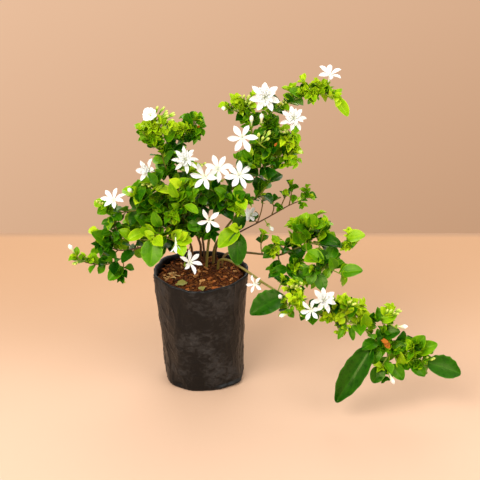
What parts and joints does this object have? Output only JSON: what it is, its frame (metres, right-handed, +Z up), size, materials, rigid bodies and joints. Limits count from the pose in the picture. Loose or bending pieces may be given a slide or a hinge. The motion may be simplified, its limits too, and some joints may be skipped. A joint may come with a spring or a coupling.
{
  "type": "potted star jasmine",
  "caption": "Flowering star jasmine shrub with long leaning stems, glossy leaves and white star flowers, growing in coir in a soft black nursery bag",
  "frame": {"origin": "middle of the bag's flat base, on the surface it stands on", "axes": "+Z up; +X along the plant's long axis, towards the long low branch; +Y to the back"},
  "size_m": [0.5253, 0.2163, 0.4546],
  "materials": {
    "bag_film": "thin black polythene film, wrinkled, with a dusty brown bloom",
    "coir": "loose moist red-brown coir and bark fibre",
    "foliage": "glossy mid to bright green leaves on thin green and brown twigs",
    "petals": "soft white petals with a satin sheen, pale green tube",
    "bud_skin": "closed white bud, slightly cream at its foot",
    "husk": "dry straw-coloured husk chip",
    "dry_leaf": "fallen olive leaf, half dry"
  },
  "bodies": {
    "root": {"bud_01": "bud_skin", "bud_02": "bud_skin", "bud_03": "bud_skin", "bud_04": "bud_skin", "bud_05": "bud_skin", "bud_06": "bud_skin", "bud_07": "bud_skin", "bud_08": "bud_skin", "bud_09": "bud_skin", "bud_10": "bud_skin", "coir": "coir", "fallen_leaf_01": "dry_leaf", "fallen_leaf_02": "dry_leaf", "flower_01": "petals", "flower_02": "petals", "flower_03": "petals", "flower_04": "petals", "flower_05": "petals", "flower_06": "petals", "flower_07": "petals", "flower_08": "petals", "flower_09": "petals", "flower_10": "petals", "flower_11": "petals", "flower_12": "petals", "flower_13": "petals", "flower_14": "petals", "flower_15": "petals", "flower_16": "petals", "flower_17": "petals", "husk_chip_01": "husk", "husk_chip_02": "husk", "husk_chip_03": "husk", "nursery_bag": "bag_film", "stem_back": "foliage", "stem_left": "foliage", "stem_low_left": "foliage", "stem_low_right": "foliage", "stem_right": "foliage", "stem_thin_right": "foliage", "stem_top": "foliage", "stem_top_left": "foliage", "stem_top_right": "foliage"}
  },
  "joints": []
}
